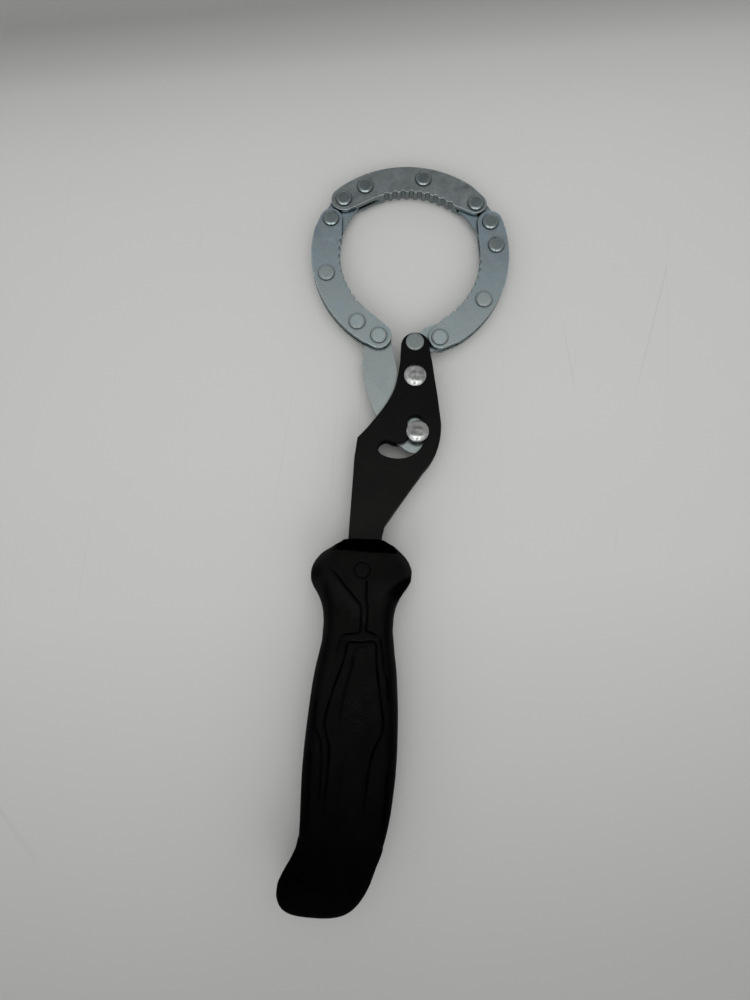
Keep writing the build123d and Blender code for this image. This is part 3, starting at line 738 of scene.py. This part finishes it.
def make_floor():
    """flat floor"""
    prof = [(-3.0, 0.0), (-0.4, 0.0), (0.4, 0.0), (3.0, 0.0)]
    verts, faces = [], []
    for x in (-3.0, 3.0):
        for y, z in prof:
            # tilted about the front edge of the grip's flat
            yy = PIVOT_Y + (y - PIVOT_Y) * math.cos(TILT) - z * math.sin(TILT)
            zz = FLOOR_Z + (y - PIVOT_Y) * math.sin(TILT) + z * math.cos(TILT)
            verts.append((x, yy, zz))
    k = len(prof)
    for i in range(k - 1):
        faces.append((i, k + i, k + i + 1, i + 1))
    me = bpy.data.meshes.new("floor")
    me.from_pydata(verts, [], faces)
    me.update()
    for p in me.polygons:
        p.use_smooth = True
    o = bpy.data.objects.new("floor", me)
    bpy.context.scene.collection.objects.link(o)
    me.materials.append(floor_material())
    return o


make_floor()

# ---------------------------------------------------------------- light
WINDOW = 2.4
GLOW = 0.9
scene = bpy.context.scene
world = bpy.data.worlds.new("studio")
scene.world = world
world.use_nodes = True
nt = world.node_tree
nt.nodes.clear()
wout = nt.nodes.new("ShaderNodeOutputWorld")
bg = nt.nodes.new("ShaderNodeBackground")
co = nt.nodes.new("ShaderNodeTexCoord").outputs["Generated"]
sep = nt.nodes.new("ShaderNodeSeparateXYZ")
nt.links.new(co, sep.inputs[0])


def world_math(op, a, b=None):
    n = nt.nodes.new("ShaderNodeMath")
    n.operation = op
    for i, v in enumerate((a, b)):
        if v is None:
            continue
        if isinstance(v, (int, float)):
            n.inputs[i].default_value = v
        else:
            nt.links.new(v, n.inputs[i])
    return n.outputs[0]


def world_range(src, a, b, c, d):
    r = nt.nodes.new("ShaderNodeMapRange")
    r.interpolation_type = "SMOOTHSTEP"
    for key, val in zip(("From Min", "From Max", "To Min", "To Max"), (a, b, c, d)):
        r.inputs[key].default_value = val
    nt.links.new(src, r.inputs["Value"])
    return r.outputs["Result"]


# the room, by the slope of the direction: towards +Y (sy) and +X (sx)
up = world_math("MAXIMUM", sep.outputs["Z"], 0.04)
sx = world_math("DIVIDE", sep.outputs["X"], up)
sy = world_math("DIVIDE", sep.outputs["Y"], up)
ax = world_math("ABSOLUTE", sx)

ROOM = [(-2.0, 0.45), (-1.8, 0.16), (-0.95, 0.16), (-0.60, 0.26), (-0.36, 0.34), (-0.10, 0.36), (0.04, 0.41), (0.17, 0.52), (0.28, 0.60),
        (0.36, 0.46), (0.45, 0.40), (0.54, 0.31), (0.60, 0.20), (0.66, 0.125), (0.80, 0.12), (1.0, 0.45)]
room = nt.nodes.new("ShaderNodeValToRGB")
els = room.color_ramp.elements
while len(els) < len(ROOM):
    els.new(0.5)
for e, (p, v) in zip(els, ROOM):
    e.position = (p + 2.0) / 3.0
    e.color = (v, v, v, 1)
nt.links.new(world_math("MULTIPLY", world_math("ADD", sy, 2.0), 1.0 / 3.0), room.inputs["Fac"])
# away from the middle the room is even
side = world_range(ax, 0.45, 1.1, 0.0, 1.0)
even = nt.nodes.new("ShaderNodeMix")
even.data_type = "RGBA"
rgba = [k for k in even.inputs if k.type == "RGBA"]
nt.links.new(side, even.inputs[0])
nt.links.new(room.outputs["Color"], rgba[0])
rgba[1].default_value = (0.45, 0.45, 0.45, 1)
# window towards -Y with something dark standing in front of its lower middle
wx = world_range(ax, 0.50, 0.66, 1.0, 0.0)
w0 = world_range(sy, -1.75, -1.55, 0.0, 1.0)
w1 = world_range(sy, -0.58, -0.50, 1.0, 0.0)
win = world_math("MULTIPLY", world_math("MULTIPLY", wx, w0), w1)
bx = world_range(ax, 0.12, 0.34, 1.0, 0.0)
by = world_math("MULTIPLY", world_range(sy, -0.80, -0.70, 1.0, 0.0), world_range(sy, -1.5, -1.3, 0.0, 1.0))
blob = world_math("SUBTRACT", 1.0, world_math("MULTIPLY", world_math("MULTIPLY", bx, by), 0.88))
win = world_math("MULTIPLY", win, blob)
# a fainter glow on both sides of it
gl = world_math("MULTIPLY", world_range(ax, 0.7, 2.2, 1.0, 0.0), world_math("MULTIPLY", world_range(sy, -1.9, -1.3, 0.0, 1.0), world_range(sy, -0.55, -0.25, 1.0, 0.0)))
glow = world_math("MULTIPLY", gl, world_range(ax, 0.45, 0.7, 0.0, 1.0))
light = world_math("ADD", world_math("MULTIPLY", win, WINDOW), world_math("MULTIPLY", glow, GLOW))
grey = nt.nodes.new("ShaderNodeCombineColor")
for i in range(3):
    nt.links.new(light, grey.inputs[i])
add = nt.nodes.new("ShaderNodeMix")
add.data_type = "RGBA"
add.blend_type = "ADD"
add.inputs[0].default_value = 1.0
rgba2 = [k for k in add.inputs if k.type == "RGBA"]
nt.links.new([k for k in even.outputs if k.type == "RGBA"][0], rgba2[0])
nt.links.new(grey.outputs["Color"], rgba2[1])
nt.links.new([k for k in add.outputs if k.type == "RGBA"][0], bg.inputs["Color"])
nt.links.new(bg.outputs[0], wout.inputs["Surface"])


def area(name, loc, target, size, size_y, power, colour=(1, 1, 1)):
    l = bpy.data.lights.new(name, "AREA")
    l.shape = "RECTANGLE"
    l.size, l.size_y = size, size_y
    l.energy = power
    l.color = colour
    o = bpy.data.objects.new(name, l)
    scene.collection.objects.link(o)
    from mathutils import Vector
    d = Vector(target) - Vector(loc)
    o.location = loc
    o.rotation_euler = d.to_track_quat("-Z", "Y").to_euler()
    return o


key = area("key", (0.01, 0.06, 0.62), (0.0, 0.05, 0), 0.46, 0.46, 0.315)
key.data.spread = math.radians(84)
key.visible_glossy = False

# ---------------------------------------------------------------- camera
cam = bpy.data.cameras.new("camera")
cam_o = bpy.data.objects.new("camera", cam)
scene.collection.objects.link(cam_o)
cam_o.location = (-0.00407, -0.04994, 0.3122)
cam_o.rotation_euler = (math.radians(10.314), 0.0, math.radians(3.8869))
cam.lens = 27.036
cam.sensor_width = 36.0
cam.sensor_fit = "AUTO"
cam.clip_start = 0.01
cam.clip_end = 20
scene.camera = cam_o

scene.view_settings.view_transform = "Standard"
scene.view_settings.look = "None"
